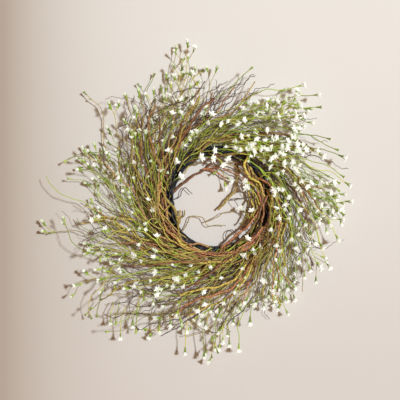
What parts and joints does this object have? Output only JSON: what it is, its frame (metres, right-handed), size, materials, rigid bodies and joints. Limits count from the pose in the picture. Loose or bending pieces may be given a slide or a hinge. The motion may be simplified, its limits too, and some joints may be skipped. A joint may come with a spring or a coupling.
{
  "type": "twig wreath",
  "caption": "Round wreath of bark twigs, dark curly tendrils and green sprays of small white blossoms, swept clockwise from a black wound base ring.",
  "frame": {"origin": "under the middle of the whole wreath, in the plane on which its base ring rests", "axes": "+Z out of the wreath's face, +Y towards its top when it hangs as in the picture, +X to the viewer's right"},
  "size_m": [0.5926, 0.6174, 0.0903],
  "materials": {
    "ring_core": "black wound stems with a faint gloss",
    "bark": "knobbly bark, warm brown with olive and red-brown patches",
    "tendril": "dark purple-brown, slightly rough",
    "tan_tendril": "tan to olive, slightly rough",
    "stem_green": "fresh green, satin",
    "petal_white": "matte white cloth petals"
  },
  "bodies": {
    "root": {"base_ring": "ring_core", "bark_twigs_01": "bark", "bark_twigs_02": "bark", "bark_twigs_03": "bark", "bark_twigs_04": "bark", "bark_twigs_05": "bark", "bark_twigs_06": "bark", "bark_twigs_07": "bark", "bark_twigs_08": "bark", "bark_twigs_09": "bark", "bark_twigs_10": "bark", "bark_twigs_11": "bark", "bark_twigs_12": "bark", "bark_twigs_13": "bark", "bark_twigs_14": "bark", "bark_twigs_15": "bark", "blossom_spray_01": "stem_green", "blossom_spray_02": "stem_green", "blossom_spray_03": "stem_green", "blossom_spray_04": "stem_green", "blossom_spray_05": "stem_green", "blossom_spray_06": "stem_green", "blossom_spray_07": "stem_green", "blossom_spray_08": "stem_green", "blossom_spray_09": "stem_green", "blossom_spray_10": "stem_green", "blossom_spray_11": "stem_green", "blossom_spray_12": "stem_green", "blossom_spray_13": "stem_green", "blossom_spray_14": "stem_green", "blossom_spray_15": "stem_green", "blossom_spray_16": "stem_green", "blossom_spray_17": "stem_green", "blossom_spray_18": "stem_green", "blossom_spray_19": "stem_green", "blossom_spray_20": "stem_green", "blossom_spray_21": "stem_green", "blossom_spray_22": "stem_green", "blossom_spray_23": "stem_green", "blossom_spray_24": "stem_green", "dark_tendrils_01": "tendril", "dark_tendrils_02": "tendril", "dark_tendrils_03": "tendril", "dark_tendrils_04": "tendril", "dark_tendrils_05": "tendril", "dark_tendrils_06": "tendril", "dark_tendrils_07": "tendril", "dark_tendrils_08": "tendril", "dark_tendrils_09": "tendril", "dark_tendrils_10": "tendril", "dark_tendrils_11": "tendril", "dark_tendrils_12": "tendril", "dark_tendrils_13": "tendril", "hole_twigs_right": "bark", "hole_twigs_top": "bark", "hole_twigs_left": "bark", "hole_tendril": "tan_tendril", "hole_curl_left": "tendril", "hole_curl_right": "tendril", "hole_spray": "stem_green"}
  },
  "joints": []
}
